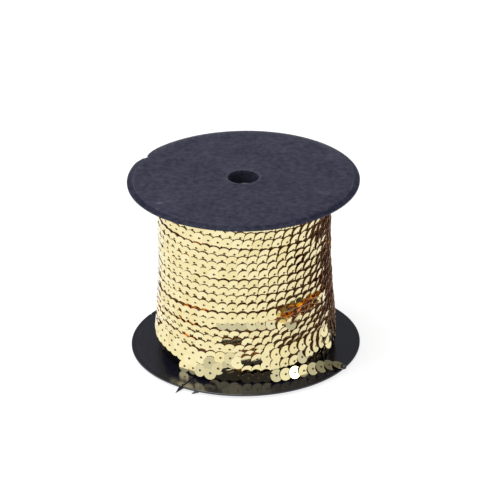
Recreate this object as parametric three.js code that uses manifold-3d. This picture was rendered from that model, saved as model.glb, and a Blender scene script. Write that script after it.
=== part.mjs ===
// A reel of sequin trim: flat round sequins strung in one row, wound round and round
// on a black plastic spool, with the loose end caught in a slit of the lower flange.
// Millimetres, +Z up. The spool's axis is the Z axis and its lower flange stands on z = 0.
// Angles are in degrees, counted from +X towards +Y; the front of the reel is at 270.

import * as THREE from 'three';
import { mergeVertices } from 'three/addons/utils/BufferGeometryUtils.js';
import Module from 'manifold-3d';

const wasm = await Module();
wasm.setup();

// Driving dimensions of the spool.
const overallHeight = 87.4;
const flangeRadius = 54;
const flangeThickness = 2;
const rimEdge = 1;             // height of the rim, outside the bevel of the outer face
const bevelWidth = 2.9;
const boreRadius = 7.25;
const boreChamfer = 0.9;
const barrelRadius = 25;

// Four slits in each flange hold the trim's end. Each opens into a small V at the rim.
const slits = { angles: [57, 147.5, 236.5, 326.5], depth: 11.5, width: 0.6, mouth: 2, flare: 1.5 };

// A scrap of the moulding's gate is left inside the top bore, at the front.
const gateTab = { width: 3.8, reach: 0.6, root: 1.2, height: 1, angle: 270 };

// Driving dimensions of the trim.
const sequinDiameter = 6;
const ridgeDepth = 0.8;        // how far each row's upper edge stands out over the row above
const ridgeStep = 0.35;        // height over which the surface falls back behind that edge

const clearance = 0.3;         // gap between neighbouring pieces
const roundSegments = 72;

const radians = THREE.MathUtils.degToRad;

// The rows of the winding, from the lower flange up. Each one stands out to its reach,
// and its upper edge is at these heights round the reel. The lowest rows have slumped.
const columnAngles = { left: 205, front: 250, right: 290, side: 325, back: 445 };
const rows = [
  { reach: 42.2, left: 8.6, front: 7.3, right: 8.0, side: 8.6, back: 8.8 },
  { reach: 42.2, left: 14.0, front: 11.2, right: 12.4, side: 13.2, back: 13.2 },
  { reach: 42.4, left: 17.8, front: 15.0, right: 17.6, side: 18.2, back: 17.6 },
  { reach: 42.3, left: 21.6, front: 21.2, right: 20.8, side: 22.0, back: 21.8 },
  { reach: 42.0, left: 25.0, front: 25.2, right: 24.0, side: 26.2, back: 26.0 },
  { reach: 41.8, left: 29.2, front: 29.3, right: 28.4, side: 30.6, back: 30.2 },
  { reach: 41.3, left: 33.2, front: 33.6, right: 33.2, side: 35.0, back: 34.4 },
  { reach: 41.2, left: 36.9, front: 37.0, right: 38.6, side: 39.4, back: 38.4 },
  { reach: 40.5, left: 42.7, front: 42.7, right: 42.6, side: 42.9, back: 42.8 },
  { reach: 40.2, left: 47.5, front: 46.8, right: 46.7, side: 46.6, back: 47.0 },
  { reach: 40.0, left: 51.4, front: 50.5, right: 50.6, side: 50.5, back: 51.0 },
  { reach: 40.0, left: 55.9, front: 54.5, right: 54.9, side: 54.6, back: 55.2 },
  { reach: 40.1, left: 59.9, front: 59.2, right: 59.3, side: 59.0, back: 59.5 },
  { reach: 40.2, left: 64.5, front: 63.3, right: 62.8, side: 62.4, back: 63.6 },
  { reach: 40.3, left: 68.5, front: 67.2, right: 66.8, side: 66.4, back: 67.6 },
  { reach: 40.3, left: 72.7, front: 71.1, right: 69.9, side: 69.6, back: 71.6 },
  { reach: 40.3, left: 77.3, front: 76.2, right: 74.2, side: 73.8, back: 76.0 },
  { reach: 40.2, left: 80.9, front: 80.0, right: 77.8, side: 77.5, back: 79.6 },
  { reach: 40.0, left: 84.2, front: 83.6, right: 82.4, side: 82.2, back: 83.6 },
];

// In one row, on the right, the strand is turned over and stands out as a twisted lump.
const twist = { row: 7, angle: 306, halfSpan: 20, rise: 1.3 };

// The hole of each sequin of the loose end, from where it leaves the winding to the slit.
// Lean is how far the sequin tips back from upright, so that its face turns up.
const looseEnd = [
  { x: 0.5, y: -43.2, z: 5.6, lean: -4 },
  { x: 5.1, y: -43.1, z: 5.6, lean: -4 },
  { x: 9.7, y: -42.5, z: 5.6, lean: 0 },
  { x: 14.0, y: -41.5, z: 5.6, lean: 5 },
  { x: 18.3, y: -40.1, z: 5.5, lean: 10 },
  { x: 22.6, y: -38.6, z: 5.5, lean: 16 },
  { x: 26.8, y: -37.0, z: 5.4, lean: 24 },
  { x: 31.0, y: -35.1, z: 5.2, lean: 34 },
  { x: 34.9, y: -32.8, z: 4.9, lean: 44 },
  { x: 38.8, y: -30.8, z: 4.6, lean: 54 },
  { x: 43.0, y: -28.9, z: 4.2, lean: 62 },
];
const shingle = 8;             // each sequin lies over the one before it, tipped by this angle
const solidSequin = 1;         // thickness with which neighbouring sequins fuse into one solid
const sequinSides = 18;

const blackPlastic = new THREE.MeshStandardMaterial({ color: 0x34343f, roughness: 0.5, metalness: 0 });
const goldSequin = new THREE.MeshStandardMaterial({ color: 0xf2d98a, roughness: 0.18, metalness: 0.9 });

// A closed geometry as a manifold solid, for the joins and cuts.
function toSolid(geometry) {
  const bare = geometry.clone();
  bare.deleteAttribute('normal');
  bare.deleteAttribute('uv');
  const merged = mergeVertices(bare, 1e-4);
  return new wasm.Manifold(new wasm.Mesh({
    numProp: 3,
    vertProperties: Float32Array.from(merged.attributes.position.array),
    triVerts: Uint32Array.from(merged.index.array),
  }));
}

// A manifold solid as a geometry again.
function toGeometry(solid) {
  const { vertProperties, triVerts } = solid.getMesh();
  const geometry = new THREE.BufferGeometry();
  geometry.setAttribute('position', new THREE.BufferAttribute(vertProperties, 3));
  geometry.setIndex(new THREE.BufferAttribute(triVerts, 1));
  geometry.computeVertexNormals();
  return geometry;
}

// A ring round the Z axis whose cross-section may change from angle to angle. At every
// angle profileAt gives the same number of [radius, height] points, with the outside
// going up and the inside coming down.
function ringGeometry(profileAt) {
  const positions = [];
  const indices = [];
  let count = 0;
  for (let i = 0; i < roundSegments; i++) {
    const degrees = 360 * i / roundSegments;
    const profile = profileAt(degrees);
    count = profile.length;
    for (const [radius, height] of profile) {
      positions.push(radius * Math.cos(radians(degrees)), radius * Math.sin(radians(degrees)), height);
    }
  }
  for (let i = 0; i < roundSegments; i++) {
    const here = i * count;
    const next = ((i + 1) % roundSegments) * count;
    for (let j = 0; j < count; j++) {
      const above = (j + 1) % count;
      indices.push(here + j, next + j, next + above, here + j, next + above, here + above);
    }
  }
  const geometry = new THREE.BufferGeometry();
  geometry.setAttribute('position', new THREE.Float32BufferAttribute(positions, 3));
  geometry.setIndex(indices);
  geometry.computeVertexNormals();
  return geometry;
}

// The outline of one slit, drawn along +X with the rim at flangeRadius.
function slitShape() {
  const { depth, width, mouth, flare } = slits;
  const outside = flangeRadius + 1;
  const shape = new THREE.Shape();
  shape.moveTo(flangeRadius - depth, -width / 2);
  shape.lineTo(flangeRadius - flare, -width / 2);
  shape.lineTo(outside, -mouth / 2);
  shape.lineTo(outside, mouth / 2);
  shape.lineTo(flangeRadius - flare, width / 2);
  shape.lineTo(flangeRadius - depth, width / 2);
  shape.closePath();
  return shape;
}

// One flange with its outer face up and its inner face on z = 0.
function flangeSolid(slitAngles) {
  const profile = [
    [boreRadius, 0],
    [flangeRadius, 0],
    [flangeRadius, rimEdge],
    [flangeRadius - bevelWidth, flangeThickness],
    [boreRadius + boreChamfer, flangeThickness],
    [boreRadius, flangeThickness - boreChamfer],
  ];
  let solid = toSolid(ringGeometry(() => profile));
  for (const angle of slitAngles) {
    const cut = new THREE.ExtrudeGeometry(slitShape(), { depth: 2 * flangeThickness, bevelEnabled: false });
    cut.translate(0, 0, -flangeThickness / 2);
    cut.rotateZ(radians(angle));
    solid = solid.subtract(toSolid(cut));
  }
  return solid;
}

function topFlangeGeometry() {
  const tab = new THREE.BoxGeometry(gateTab.reach + gateTab.root, gateTab.width, gateTab.height);
  tab.translate(boreRadius + (gateTab.root - gateTab.reach) / 2, 0, gateTab.height / 2);
  tab.rotateZ(radians(gateTab.angle));
  return toGeometry(flangeSolid(slits.angles).add(toSolid(tab)));
}

// The lower flange is turned over about the X axis, which turns its angles round as well.
function bottomFlangeGeometry() {
  const geometry = toGeometry(flangeSolid(slits.angles.map((angle) => -angle)));
  geometry.rotateX(Math.PI);
  geometry.translate(0, 0, flangeThickness);
  return geometry;
}

const windingBottom = flangeThickness + clearance;
const windingTop = overallHeight - flangeThickness - clearance;

function barrelGeometry() {
  const profile = [
    [boreRadius, windingBottom],
    [barrelRadius, windingBottom],
    [barrelRadius, windingTop],
    [boreRadius, windingTop],
  ];
  return ringGeometry(() => profile);
}

// A row's height at an angle, blended smoothly from one named column to the next.
function heightAt(row, degrees) {
  const names = Object.keys(columnAngles);
  const first = columnAngles[names[0]];
  const around = first + THREE.MathUtils.euclideanModulo(degrees - first, 360);
  for (let i = 0; i < names.length; i++) {
    const start = columnAngles[names[i]];
    const following = names[(i + 1) % names.length];
    const end = i + 1 < names.length ? columnAngles[following] : first + 360;
    if (around <= end) {
      const blend = THREE.MathUtils.smoothstep(around, start, end);
      return THREE.MathUtils.lerp(row[names[i]], row[following], blend);
    }
  }
  return row[names[0]];
}

function reachAt(index, degrees) {
  if (index !== twist.row) return rows[index].reach;
  const offset = Math.min(Math.abs(degrees - twist.angle) / twist.halfSpan, 1);
  return rows[index].reach + twist.rise * (1 + Math.cos(Math.PI * offset)) / 2;
}

// The wound trim is one body with a ridge for each row. A row's upper edge stands out
// over the row above it, and its lower edge is tucked behind the row below.
function windingProfile(degrees) {
  const inner = barrelRadius + clearance;
  const profile = [
    [inner, windingBottom],
    [rows[0].reach - ridgeDepth, windingBottom],
  ];
  rows.forEach((row, index) => {
    const height = heightAt(row, degrees);
    const above = Math.min(index + 1, rows.length - 1);
    profile.push([reachAt(index, degrees), height]);
    profile.push([reachAt(above, degrees) - ridgeDepth, height + ridgeStep]);
  });
  profile.push([rows[rows.length - 1].reach - ridgeDepth, windingTop]);
  profile.push([inner, windingTop]);
  return profile;
}

// One sequin of the loose end as a flat disc, facing out from the reel and leaning back.
function looseSequin(index) {
  const before = looseEnd[Math.max(index - 1, 0)];
  const after = looseEnd[Math.min(index + 1, looseEnd.length - 1)];
  const hole = looseEnd[index];
  const along = new THREE.Vector3(after.x - before.x, after.y - before.y, after.z - before.z).normalize();
  const upright = new THREE.Vector3(0, 0, 1).projectOnPlane(along).normalize();
  const facing = new THREE.Vector3().crossVectors(along, upright);
  facing.applyAxisAngle(along, radians(-hole.lean));
  facing.applyAxisAngle(upright, radians(shingle));
  const disc = new THREE.CylinderGeometry(sequinDiameter / 2, sequinDiameter / 2, solidSequin, sequinSides);
  disc.applyQuaternion(new THREE.Quaternion().setFromUnitVectors(new THREE.Vector3(0, 1, 0), facing));
  disc.translate(hole.x, hole.y, hole.z);
  return toSolid(disc);
}

function looseEndGeometry() {
  let solid = looseSequin(0);
  for (let index = 1; index < looseEnd.length; index++) {
    solid = solid.add(looseSequin(index));
  }
  return toGeometry(solid);
}

function named(name, geometry, material) {
  const mesh = new THREE.Mesh(geometry, material);
  mesh.name = name;
  return mesh;
}

const reel = new THREE.Group();
const topFlange = named('flange_top', topFlangeGeometry(), blackPlastic);
topFlange.position.z = overallHeight - flangeThickness;
reel.add(topFlange);
reel.add(named('flange_bottom', bottomFlangeGeometry(), blackPlastic));
reel.add(named('spool_barrel', barrelGeometry(), blackPlastic));
reel.add(named('wound_trim', ringGeometry(windingProfile), goldSequin));
reel.add(named('trim_end', looseEndGeometry(), goldSequin));

export default reel;
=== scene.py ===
# %% [markdown]
# Sequin trim on its spool
#
# Strung sequins are flat discs of metallised film, sewn in one row on a thread so that each
# one lies half over the last. About ninety metres of them are wound on a black plastic spool.
# The solids of the spool and of the wound body are already made, in metres, and this lesson
# dresses them: it lays out each sequin of the outer turns, sews the thread through them, and
# gives the plastic and the gold their finish. Everything is placed in the same frame, with
# the spool's axis on Z, its lower flange standing on z = 0 and the reel's front towards -Y.

# %% Load the frame
import math

import bmesh
import bpy
import numpy as np
from mathutils import Matrix, Vector


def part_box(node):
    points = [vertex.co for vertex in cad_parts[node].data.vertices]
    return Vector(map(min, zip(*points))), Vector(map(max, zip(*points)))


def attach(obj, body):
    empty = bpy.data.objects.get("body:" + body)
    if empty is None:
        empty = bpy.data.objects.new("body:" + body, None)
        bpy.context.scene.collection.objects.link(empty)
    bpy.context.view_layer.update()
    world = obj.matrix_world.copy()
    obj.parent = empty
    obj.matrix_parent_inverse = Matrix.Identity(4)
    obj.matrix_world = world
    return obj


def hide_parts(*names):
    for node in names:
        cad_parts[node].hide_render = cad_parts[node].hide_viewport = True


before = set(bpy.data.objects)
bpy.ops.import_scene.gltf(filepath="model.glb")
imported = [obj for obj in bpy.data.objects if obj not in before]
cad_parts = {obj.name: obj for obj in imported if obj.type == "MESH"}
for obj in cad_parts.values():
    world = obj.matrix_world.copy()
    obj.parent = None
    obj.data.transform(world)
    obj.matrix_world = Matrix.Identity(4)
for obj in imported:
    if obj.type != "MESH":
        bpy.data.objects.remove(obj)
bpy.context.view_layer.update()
MM = 0.001
scene = bpy.context.scene
low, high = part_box("flange_bottom")
FLANGE_RADIUS = (high[0] - low[0]) / 2
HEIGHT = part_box("flange_top")[1][2]
print("spool", FLANGE_RADIUS * 2, "m across and", HEIGHT, "m high")

# %% [markdown]
# The studio
#
# Gold film is a mirror, so what it reflects is most of its colour. In a plain white room every
# sequin that faces the floor or a wall turns the same pale yellow, and only those that face
# the black flanges go dark. A picture of a real room would show in the film, and an even white
# would turn the satin flanges pale. So the world is white at the horizon, and two ramps on the
# direction of a ray dim it overhead and behind the reel.

# %% World
ROOM_WHITE = (0.93, 0.95, 1.0)
HORIZON_LIGHT = 1.0
SKY_LIGHT = 0.34
SKY_SPAN = (0.08, 0.42)          # how steeply a ray rises where the sky starts and stops to dim
BEHIND_LIGHT = 0.55
BEHIND_SPAN = (0.0, 0.5)         # the same for how far a ray points behind the reel

scene.view_settings.view_transform = "Standard"
world = bpy.data.worlds.new("white_room")
scene.world = world
world.use_nodes = True
room_tree = world.node_tree
background = room_tree.nodes["Background"]
background.inputs["Color"].default_value = (*ROOM_WHITE, 1)
direction = room_tree.nodes.new("ShaderNodeSeparateXYZ")
ray = room_tree.nodes.new("ShaderNodeTexCoord").outputs["Generated"]
room_tree.links.new(ray, direction.inputs["Vector"])


def room_ramp(axis, span, lights):
    """A brightness that goes from one light to the other as this axis of a ray crosses the span."""
    ramp = room_tree.nodes.new("ShaderNodeMapRange")
    room_tree.links.new(direction.outputs[axis], ramp.inputs["Value"])
    for label, number in zip(("From Min", "From Max", "To Min", "To Max"), (*span, *lights)):
        ramp.inputs[label].default_value = number
    return ramp.outputs["Result"]


brightness = room_tree.nodes.new("ShaderNodeMath")
brightness.operation = "MULTIPLY"
room_tree.links.new(room_ramp("Z", SKY_SPAN, (HORIZON_LIGHT, SKY_LIGHT)), brightness.inputs[0])
room_tree.links.new(room_ramp("Y", BEHIND_SPAN, (1.0, BEHIND_LIGHT)), brightness.inputs[1])
room_tree.links.new(brightness.outputs[0], background.inputs["Strength"])
print("the room goes from", HORIZON_LIGHT, "at the horizon to", SKY_LIGHT, "overhead")

# %% [markdown]
# Floor and lamps
#
# The reel stands on white paper. A plain grey sheet under lamps would fall off towards its
# edges, so the paper also glows a little by itself and stays white, in the picture and in the
# sequins that mirror it. A large lamp hangs above. A smaller one stands at the left, where the
# lowest sequins catch it as the glossy lower flange mirrors them: it makes two tan patches.

# %% Floor and lamps
FLOOR_SIDE = 6.0
FLOOR_DROP = 0.0002              # the paper lies a hair under the reel, so that the two don't flicker
PAPER_GREY = (0.45, 0.45, 0.45)
PAPER_GLOW = 0.8
LAMPS = (
    {"name": "top_lamp", "place": (-0.3, 0.0, 1.5), "side": 0.8, "power": 9.5},
    {"name": "left_lamp", "place": (-0.79, -0.26, 0.86), "side": 0.45, "power": 2.2},
)


def principled(name):
    """A new material with its Principled node, ready for textures."""
    material = bpy.data.materials.new(name)
    material.use_nodes = True
    return material, material.node_tree, material.node_tree.nodes["Principled BSDF"]


def piece_from(build, name, material=None):
    """Turn a finished bmesh into an object of the scene."""
    mesh = bpy.data.meshes.new(name)
    build.to_mesh(mesh)
    build.free()
    if material is not None:
        mesh.materials.append(material)
    piece = bpy.data.objects.new(name, mesh)
    scene.collection.objects.link(piece)
    return piece


def softbox(name, place, side, power, target=(0, 0, 0)):
    """A square area lamp at place, turned towards target."""
    light = bpy.data.lights.new(name, "AREA")
    light.size = side
    light.energy = power
    lamp = bpy.data.objects.new(name, light)
    lamp.location = place
    lamp.rotation_euler = (Vector(target) - Vector(place)).to_track_quat("-Z", "Y").to_euler()
    scene.collection.objects.link(lamp)


paper, paper_tree, paper_shader = principled("white_paper")
paper_shader.inputs["Base Color"].default_value = (*PAPER_GREY, 1)
paper_shader.inputs["Roughness"].default_value = 0.9
paper_shader.inputs["Specular IOR Level"].default_value = 0.1
paper_shader.inputs["Emission Color"].default_value = (1, 1, 1, 1)
paper_shader.inputs["Emission Strength"].default_value = PAPER_GLOW

build = bmesh.new()
bmesh.ops.create_grid(build, x_segments=1, y_segments=1, size=FLOOR_SIDE / 2)
bmesh.ops.translate(build, verts=build.verts, vec=(0, 0, -FLOOR_DROP))
floor = piece_from(build, "floor", paper)
for lamp in LAMPS:
    softbox(**lamp)
print("paper", FLOOR_SIDE, "m across and", len(LAMPS), "lamps")

# %% [markdown]
# The camera
#
# The photograph is a close product shot through a long lens, looking down by 26.5 degrees and
# leaning by less than one. The lens shift holds the reel where it sits in the picture. A camera
# can be aimed by a constraint, but here its axes are worked out, because the strands and the
# curl are placed by them later on.

# %% Camera
CAMERA_ELEVATION = math.radians(26.513)
CAMERA_ROLL = math.radians(-0.835)
CAMERA_DISTANCE = 1.7548
CAMERA_LENS_MM = 269.88
CAMERA_SENSOR_MM = 36
CAMERA_SHIFT = (0.01084, 0.02260)
CAMERA_REACH = 20

back = Vector((0, -math.cos(CAMERA_ELEVATION), math.sin(CAMERA_ELEVATION)))
across = Vector((1, 0, 0))
upright = back.cross(across)
turned_across = across * math.cos(CAMERA_ROLL) + upright * math.sin(CAMERA_ROLL)
turned_upright = back.cross(turned_across)
camera_data = bpy.data.cameras.new("camera")
camera_data.lens = CAMERA_LENS_MM
camera_data.sensor_width = CAMERA_SENSOR_MM
camera_data.shift_x, camera_data.shift_y = CAMERA_SHIFT
camera_data.clip_end = CAMERA_REACH
camera = bpy.data.objects.new("camera", camera_data)
camera.matrix_world = Matrix((
    (turned_across.x, turned_upright.x, back.x, back.x * CAMERA_DISTANCE),
    (turned_across.y, turned_upright.y, back.y, back.y * CAMERA_DISTANCE),
    (turned_across.z, turned_upright.z, back.z, back.z * CAMERA_DISTANCE + HEIGHT / 2),
    (0, 0, 0, 1),
))
scene.collection.objects.link(camera)
scene.camera = camera
print("camera", CAMERA_DISTANCE, "m away, looking down by", round(math.degrees(CAMERA_ELEVATION), 1))

# %% [markdown]
# Helpers for shader nodes
#
# A material is a tree of nodes, and most of its lines would say the same: add a node, link
# this to that, set a number. A few small functions take that up, so that a material reads like
# its recipe. Each gives back the socket that the next one is fed from.

# %% Node helpers
MIX_COLOURS = (6, 7)             # the places of a Mix node's two colours among all its inputs
MIX_RESULT = 2                   # and of its colour result


def feed(tree, value, socket):
    """Link the value to the socket if it is a socket too, or else set it there."""
    if isinstance(value, bpy.types.NodeSocket):
        tree.links.new(value, socket)
    else:
        socket.default_value = value


def math_node(tree, operation, first, second):
    """A Math node; each operand is a socket or a plain number."""
    node = tree.nodes.new("ShaderNodeMath")
    node.operation = operation
    feed(tree, first, node.inputs[0])
    feed(tree, second, node.inputs[1])
    return node.outputs[0]


def sum_of(tree, masks):
    """Masks added one to the other."""
    total = masks[0]
    for mask in masks[1:]:
        total = math_node(tree, "ADD", total, mask)
    return total


def length_node(tree, vector):
    """How long a vector is."""
    node = tree.nodes.new("ShaderNodeVectorMath")
    node.operation = "LENGTH"
    tree.links.new(vector, node.inputs[0])
    return node.outputs["Value"]


def noise_node(tree, vector, scale, detail=3.0, roughness=0.5):
    """Noise from 0 to 1, with about this many blotches in a metre."""
    node = tree.nodes.new("ShaderNodeTexNoise")
    tree.links.new(vector, node.inputs["Vector"])
    feed(tree, scale, node.inputs["Scale"])
    node.inputs["Detail"].default_value = detail
    node.inputs["Roughness"].default_value = roughness
    return node.outputs["Fac"]


def map_range(tree, value, from_low, from_high, to_low, to_high):
    """Carry a value from one range over to another, and hold it at the ends."""
    node = tree.nodes.new("ShaderNodeMapRange")
    tree.links.new(value, node.inputs["Value"])
    for label, number in (("From Min", from_low), ("From Max", from_high),
                          ("To Min", to_low), ("To Max", to_high)):
        feed(tree, number, node.inputs[label])
    return node.outputs["Result"]


def mix_colour(tree, factor, first, second):
    """A Mix node for colours; factor is a socket, first and second are sockets or colours."""
    node = tree.nodes.new("ShaderNodeMix")
    node.data_type = "RGBA"
    tree.links.new(factor, node.inputs[0])
    for index, value in zip(MIX_COLOURS, (first, second)):
        if isinstance(value, bpy.types.NodeSocket):
            tree.links.new(value, node.inputs[index])
        else:
            node.inputs[index].default_value = (*value, 1)
    return node.outputs[MIX_RESULT]


def textured(name):
    """A new material, its tree, its shader and the Object coordinates that its textures read."""
    material, tree, shader = principled(name)
    return material, tree, shader, tree.nodes.new("ShaderNodeTexCoord").outputs["Object"]


def add_bump(tree, shader, height, strength, distance):
    """Make the shader's surface rise and fall with this height."""
    bump = tree.nodes.new("ShaderNodeBump")
    bump.inputs["Strength"].default_value = strength
    bump.inputs["Distance"].default_value = distance
    tree.links.new(height, bump.inputs["Height"])
    tree.links.new(bump.outputs["Normal"], shader.inputs["Normal"])


# %% [markdown]
# Shared effects
#
# Plastic, film and thread are never one flat value: soft clouds vary their colour or their
# gloss. Both plastics also carry fine handling marks. Each effect is a node group, built once,
# with named inputs, and each material places it with its own values.


# %% Cloud and hairline groups
FINER = 6.0                      # how many times finer the mottling is than the clouds
FINE_SHARE = 0.5                 # how strong it is beside them
NOISE_MIDDLE = 0.5               # what noise is on average
GAP_FINENESS = 0.7               # the scale of the gaps between hairlines, beside that of the lines


def node_group(name, inputs, outputs):
    """An empty shader group with these sockets: inputs have a default, outputs only a kind."""
    group = bpy.data.node_groups.new(name, "ShaderNodeTree")
    for label, kind, default in inputs:
        socket = group.interface.new_socket(label, in_out="INPUT", socket_type=kind)
        if default is not None:
            socket.default_value = default
    for label, kind in outputs:
        group.interface.new_socket(label, in_out="OUTPUT", socket_type=kind)
    return group, group.nodes.new("NodeGroupInput"), group.nodes.new("NodeGroupOutput")


def make_cloud_group():
    """Soft clouds at one scale, with finer mottling over them, from 0 to 1."""
    group, given, result = node_group(
        "soft_clouds",
        [("Vector", "NodeSocketVector", None), ("Scale", "NodeSocketFloat", 40.0),
         ("Contrast", "NodeSocketFloat", 1.0)],
        [("Mask", "NodeSocketFloat")],
    )
    broad = noise_node(group, given.outputs["Vector"], given.outputs["Scale"], 4.0, 0.6)
    fine_scale = math_node(group, "MULTIPLY", given.outputs["Scale"], FINER)
    fine = noise_node(group, given.outputs["Vector"], fine_scale, 2.0, 0.5)
    both = math_node(group, "ADD", broad, math_node(group, "MULTIPLY", fine, FINE_SHARE))
    centred = math_node(group, "SUBTRACT", both, NOISE_MIDDLE * (1 + FINE_SHARE))
    stretched = math_node(group, "MULTIPLY", centred, given.outputs["Contrast"])
    shifted = group.nodes.new("ShaderNodeMath")
    shifted.operation = "ADD"
    shifted.use_clamp = True
    shifted.inputs[1].default_value = NOISE_MIDDLE
    group.links.new(stretched, shifted.inputs[0])
    group.links.new(shifted.outputs[0], result.inputs["Mask"])
    return group


def make_mark_group():
    """Fine handling marks: thin curved hairlines, 1 on a line and 0 between them."""
    group, given, result = node_group(
        "hairline_marks",
        [("Vector", "NodeSocketVector", None), ("Scale", "NodeSocketFloat", 60.0),
         ("Width", "NodeSocketFloat", 0.02)],
        [("Mask", "NodeSocketFloat")],
    )
    field = noise_node(group, given.outputs["Vector"], given.outputs["Scale"], 1.0, 0.3)
    # A thin band round the noise's middle value is a winding line.
    distance = math_node(group, "ABSOLUTE", math_node(group, "SUBTRACT", field, NOISE_MIDDLE), 0.0)
    line = map_range(group, distance, 0.0, given.outputs["Width"], 1.0, 0.0)
    gap_scale = math_node(group, "MULTIPLY", given.outputs["Scale"], GAP_FINENESS)
    gaps = noise_node(group, given.outputs["Vector"], gap_scale, 2.0)
    patchy = map_range(group, gaps, 0.5, 0.65, 0.0, 1.0)
    group.links.new(math_node(group, "MULTIPLY", line, patchy), result.inputs["Mask"])
    return group


def place_group(tree, group, vector, **values):
    """Put a group in a material's tree, with its own values, and give back its mask."""
    node = tree.nodes.new("ShaderNodeGroup")
    node.node_tree = group
    tree.links.new(vector, node.inputs["Vector"])
    for label, value in values.items():
        node.inputs[label].default_value = value
    return node.outputs["Mask"]


soft_clouds = make_cloud_group()
hairline_marks = make_mark_group()
print("groups:", soft_clouds.name, hairline_marks.name)

# %% [markdown]
# Wear of the plastic
#
# Fingers and thread rub the spool pale: round the hub hole's lip, along the step of the bevel,
# and in a few soft scuffs near the slits. This could be painted on an image, but masks worked
# out from the place on the reel need no file. A scuff is an oval that fades out from its
# middle, and a worn ring is a band at one distance from the spool's axis.

# %% Scuffs and worn rings
# Where each scuff lies, how long, wide and turned it is (millimetres and degrees), and how pale.
SCUFFS = (
    {"x": -37.9, "y": 19.0, "z": 87.4, "long": 4.5, "wide": 2.2, "turn": 35, "pale": 0.09},
    {"x": -39.8, "y": 14.0, "z": 87.4, "long": 3.0, "wide": 2.0, "turn": 40, "pale": 0.06},
    {"x": -38.2, "y": -26.6, "z": 87.4, "long": 2.4, "wide": 1.5, "turn": 18, "pale": 0.42},
    {"x": 41.8, "y": 22.5, "z": 87.4, "long": 4.6, "wide": 1.8, "turn": 8, "pale": 0.13},
    {"x": 39.8, "y": 18.6, "z": 87.4, "long": 4.6, "wide": 2.2, "turn": 8, "pale": 0.12},
    {"x": 43.3, "y": -2.7, "z": 87.4, "long": 6.5, "wide": 1.2, "turn": 2, "pale": 0.06},
    {"x": 36.6, "y": -18.2, "z": 87.4, "long": 5.5, "wide": 3.0, "turn": 8, "pale": 0.12},
    {"x": 38.4, "y": -31.3, "z": 87.4, "long": 1.6, "wide": 1.4, "turn": 40, "pale": 0.12},
    {"x": 0.6, "y": -6.9, "z": 87.2, "long": 2.4, "wide": 1.5, "turn": 0, "pale": 0.2},
)
# Where an edge of the upper flange is worn pale all round: the hub hole's lip and the bevel's step.
WORN_RINGS = (
    {"radius": 7.75, "wide": 0.65, "pale": 0.16},
    {"radius": 51.3, "wide": 0.35, "pale": 0.06},
)
SCUFF_DEPTH = 2.0                # how deep a scuff reaches into the plastic
SCUFF_CORE = 0.2                 # the part of a scuff, from its middle, that doesn't fade


def axis_distance(tree, coordinates):
    """How far a point is from the spool's axis."""
    flat = tree.nodes.new("ShaderNodeVectorMath")
    flat.operation = "MULTIPLY"
    flat.inputs[1].default_value = (1, 1, 0)
    tree.links.new(coordinates, flat.inputs[0])
    return length_node(tree, flat.outputs["Vector"])


def ring_mask(tree, radius):
    """One mask for the worn rings, by the distance from the spool's axis."""
    bands = []
    for ring in WORN_RINGS:
        away = math_node(tree, "SUBTRACT", radius, ring["radius"] * MM)
        distance = math_node(tree, "ABSOLUTE", away, 0.0)
        bands.append(map_range(tree, distance, 0.0, ring["wide"] * MM, ring["pale"], 0.0))
    return sum_of(tree, bands)


def scuff_mask(tree, coordinates):
    """One mask for all the scuffs: each is an oval that fades out from its middle."""
    spots = []
    for scuff in SCUFFS:
        mapping = tree.nodes.new("ShaderNodeMapping")
        mapping.vector_type = "TEXTURE"
        mapping.inputs["Location"].default_value = [scuff[axis] * MM for axis in "xyz"]
        mapping.inputs["Rotation"].default_value = (0, 0, math.radians(scuff["turn"]))
        mapping.inputs["Scale"].default_value = (scuff["long"] * MM, scuff["wide"] * MM, SCUFF_DEPTH * MM)
        tree.links.new(coordinates, mapping.inputs["Vector"])
        away = length_node(tree, mapping.outputs["Vector"])
        spots.append(map_range(tree, away, SCUFF_CORE, 1.0, scuff["pale"], 0.0))
    return sum_of(tree, spots)


print(len(SCUFFS), "scuffs and", len(WORN_RINGS), "worn rings")

# %% [markdown]
# Black plastic
#
# The spool is moulded in charcoal polystyrene with a satin skin. A flat dark colour would look
# like a hole in the picture, so it is slightly cloudy, mottled and finely grained, and painted
# darker on the bevel as shade. The lower flange mirrors the winding that stands on it, so it
# gets the same plastic with a smoother skin and an even colour, painted darker as the shade
# under the upper flange.

# %% Plastic material
SATIN = {"dark": (0.009, 0.010, 0.032), "light": (0.078, 0.076, 0.115),
         "roughness": (0.36, 0.5), "specular": 0.28}
# The lower flange's plastic: smoother and glossier, and its colours painted darker, as the shade under the
# upper flange.
GLOSSY_SHADED = {"dark": (0.008, 0.008, 0.016), "light": (0.016, 0.016, 0.029),
          "roughness": (0.18, 0.24), "specular": 0.7}
RUBBED_GREY = (0.45, 0.44, 0.46)
PAINTED_SHADE_RADII = (51.4, 51.9)          # the radii over which painted shade darkens the plastic towards the bevel
BEVEL_PAINTED_SHADE = 0.17                 # how much darker the bevel is painted than the flat face, as shade
CLOUD_SHARE = 0.22               # how much the clouds count beside the mottling
MOTTLE_SPAN = (0.35, 0.87)       # where their sum is all dark and all light
MARK_STRENGTH = 0.02


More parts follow.
